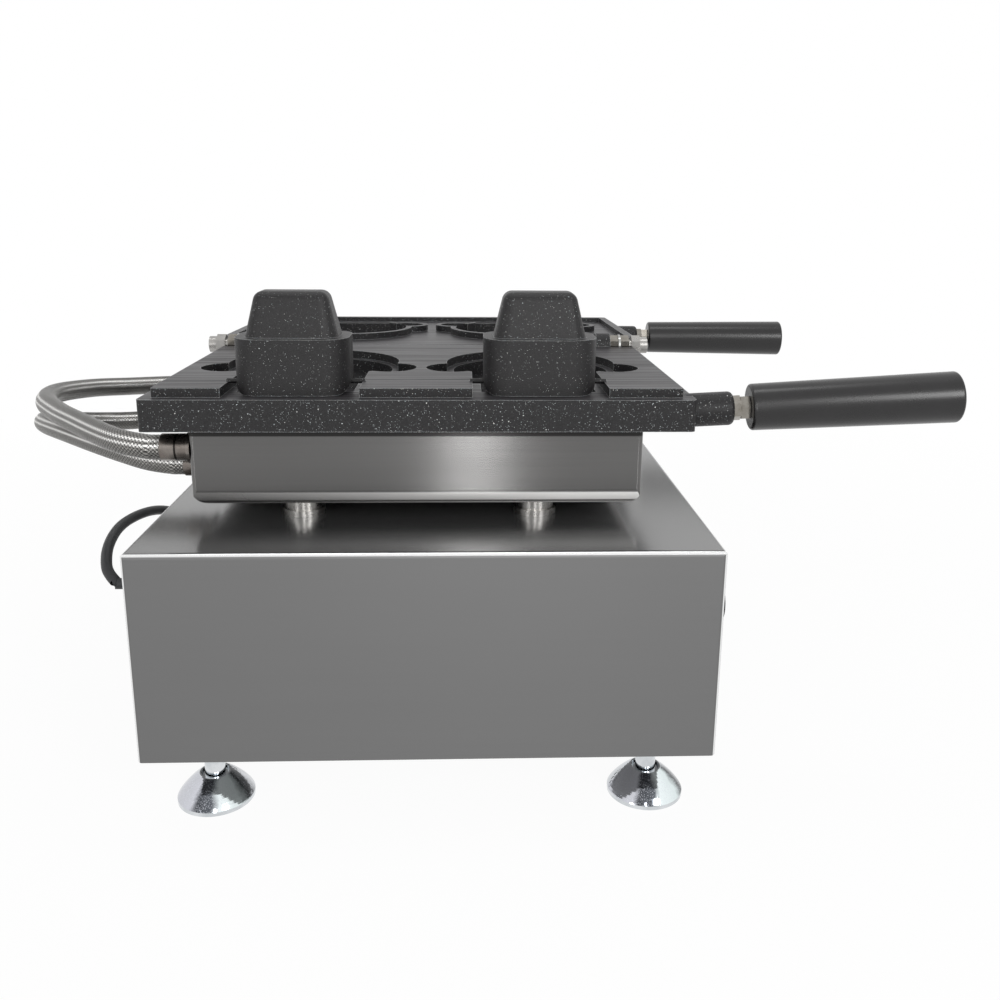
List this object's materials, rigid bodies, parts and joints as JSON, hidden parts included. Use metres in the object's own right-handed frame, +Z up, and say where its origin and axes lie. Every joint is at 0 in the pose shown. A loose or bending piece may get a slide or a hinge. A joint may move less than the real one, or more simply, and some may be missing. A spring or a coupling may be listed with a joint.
{
  "type": "taiyaki maker",
  "caption": "Countertop open-mouth waffle maker with two round, eared moulds, a hinged lid plate, swinging cores and long side handles on a steel housing.",
  "frame": {"origin": "middle of the footprint of the whole object without its mains cord, at the height of the foot pads' undersides", "axes": "+X along the plates towards the handles, +Y away from the blank front wall, +Z up"},
  "size_m": [0.6205, 0.4565, 0.3112],
  "materials": {
    "housing_steel": "brushed grey stainless sheet, fine horizontal grain, bright folded edges",
    "tray_steel": "plain stainless sheet",
    "plated_steel": "zinc plated steel",
    "foot_chrome": "polished chrome",
    "panel_steel": "brushed stainless sheet",
    "control_body_plastic": "moulded plastic, inside the housing",
    "knob_plastic": "black satin moulded plastic",
    "switch_plastic": "black moulded plastic",
    "rocker_plastic": "translucent red plastic",
    "lamp_lens": "translucent red lens",
    "terminal_plastic": "ceramic-like plastic block",
    "standoff_steel": "turned stainless steel",
    "mould_coating": "cast aluminium under a black non-stick coat with fine blue and silver sparkle",
    "core_coating": "cast aluminium under a black satin non-stick coat",
    "pan_steel": "brushed stainless sheet",
    "heater_sheath": "heat-tinted steel sheath",
    "insulation_felt": "ceramic fibre board",
    "bulb_copper": "copper bulb",
    "nut_zinc": "yellow passivated zinc plating",
    "grip_plastic": "black satin heat-proof moulding",
    "hose_braid": "woven stainless steel wire sleeve",
    "ferrule_nickel": "crimped nickel plated ferrule",
    "cord_rubber": "dark grey rubber sheath",
    "plug_plastic": "moulded black plug"
  },
  "bodies": {
    "base": {"housing_shell": "housing_steel", "housing_tray": "tray_steel", "tray_screws": "plated_steel", "foot_weld_nuts": "plated_steel", "control_panel": "panel_steel", "panel_screws": "plated_steel", "thermostat": "control_body_plastic", "timer": "control_body_plastic", "switch_body": "switch_plastic", "indicator_lamps": "lamp_lens", "terminal_block": "terminal_plastic", "standoffs": "standoff_steel", "lower_studs": "plated_steel", "lower_stud_nuts": "plated_steel", "lower_plate": "mould_coating", "lower_pan": "pan_steel", "lower_heater": "heater_sheath", "lower_insulation": "insulation_felt", "lower_bulb": "bulb_copper", "hinge_bolts": "standoff_steel", "hinge_washers": "plated_steel", "hinge_nuts": "nut_zinc", "hinge_cap_nuts": "standoff_steel", "lower_handle_rod": "standoff_steel", "lower_handle_nuts": "nut_zinc", "lower_grip": "grip_plastic", "hose_upper": "hose_braid", "hose_lower": "hose_braid", "lower_ferrules": "ferrule_nickel", "cord_gland": "cord_rubber", "mains_cord": "cord_rubber", "mains_cord_coil": "cord_rubber", "mains_plug": "plug_plastic"},
    "lid": {"lid_plate": "mould_coating", "lid_pan": "pan_steel", "lid_heater": "heater_sheath", "lid_insulation": "insulation_felt", "lid_bulb": "bulb_copper", "lid_studs": "plated_steel", "lid_cap_nuts": "standoff_steel", "lid_handle_rod": "standoff_steel", "lid_handle_nuts": "nut_zinc", "lid_grip": "grip_plastic", "lid_ferrules": "ferrule_nickel"},
    "core_left": {"core_left": "core_coating", "core_pin_left": "core_coating"},
    "core_right": {"core_right": "core_coating", "core_pin_right": "core_coating"},
    "thermostat_knob": {"thermostat_knob": "knob_plastic"},
    "timer_knob": {"timer_knob": "knob_plastic"},
    "switch_rocker": {"switch_rocker": "rocker_plastic"},
    "foot_front_left": {"foot_pad_front_left": "foot_chrome", "foot_stud_front_left": "foot_chrome"},
    "foot_front_right": {"foot_pad_front_right": "foot_chrome", "foot_stud_front_right": "foot_chrome"},
    "foot_back_left": {"foot_pad_back_left": "foot_chrome", "foot_stud_back_left": "foot_chrome"},
    "foot_back_right": {"foot_pad_back_right": "foot_chrome", "foot_stud_back_right": "foot_chrome"}
  },
  "joints": [
    {"name": "lid_hinge", "type": "hinge", "parent": "base", "child": "lid", "pos_m": [-0.00534, 0.018, 0.25805], "axis": [1, 0, 0], "range_deg": [0, 181], "deforming": ["hose_upper", "hose_lower"]},
    {"name": "core_left_tilt", "type": "hinge", "parent": "base", "child": "core_left", "pos_m": [-0.07944, -0.1404, 0.2579], "axis": [1, 0, 0], "range_deg": [-90, 0]},
    {"name": "core_right_tilt", "type": "hinge", "parent": "base", "child": "core_right", "pos_m": [0.06456, -0.1404, 0.2579], "axis": [1, 0, 0], "range_deg": [-90, 0]},
    {"name": "thermostat_turn", "type": "hinge", "parent": "base", "child": "thermostat_knob", "pos_m": [0.16916, -0.112, 0.1045], "axis": [-1, 0, 0], "range_deg": [0, 270]},
    {"name": "timer_turn", "type": "hinge", "parent": "base", "child": "timer_knob", "pos_m": [0.16916, -0.05, 0.1045], "axis": [-1, 0, 0], "range_deg": [0, 300]},
    {"name": "switch_rock", "type": "hinge", "parent": "base", "child": "switch_rocker", "pos_m": [0.16816, 0.008, 0.1045], "axis": [0, 1, 0], "range_deg": [0, 16]},
    {"name": "foot_front_left_turn", "type": "hinge", "parent": "base", "child": "foot_front_left", "pos_m": [-0.13504, -0.169, 0], "axis": [0, 0, 1], "continuous": true},
    {"name": "foot_front_right_turn", "type": "hinge", "parent": "base", "child": "foot_front_right", "pos_m": [0.13436, -0.169, 0], "axis": [0, 0, 1], "continuous": true},
    {"name": "foot_back_left_turn", "type": "hinge", "parent": "base", "child": "foot_back_left", "pos_m": [-0.13504, 0.093, 0], "axis": [0, 0, 1], "continuous": true},
    {"name": "foot_back_right_turn", "type": "hinge", "parent": "base", "child": "foot_back_right", "pos_m": [0.13436, 0.093, 0], "axis": [0, 0, 1], "continuous": true}
  ],
  "couplings": [
    {"joint": "core_left_tilt", "follows": "lid_hinge", "ratio": -0.49724},
    {"joint": "core_right_tilt", "follows": "lid_hinge", "ratio": -0.49724}
  ]
}
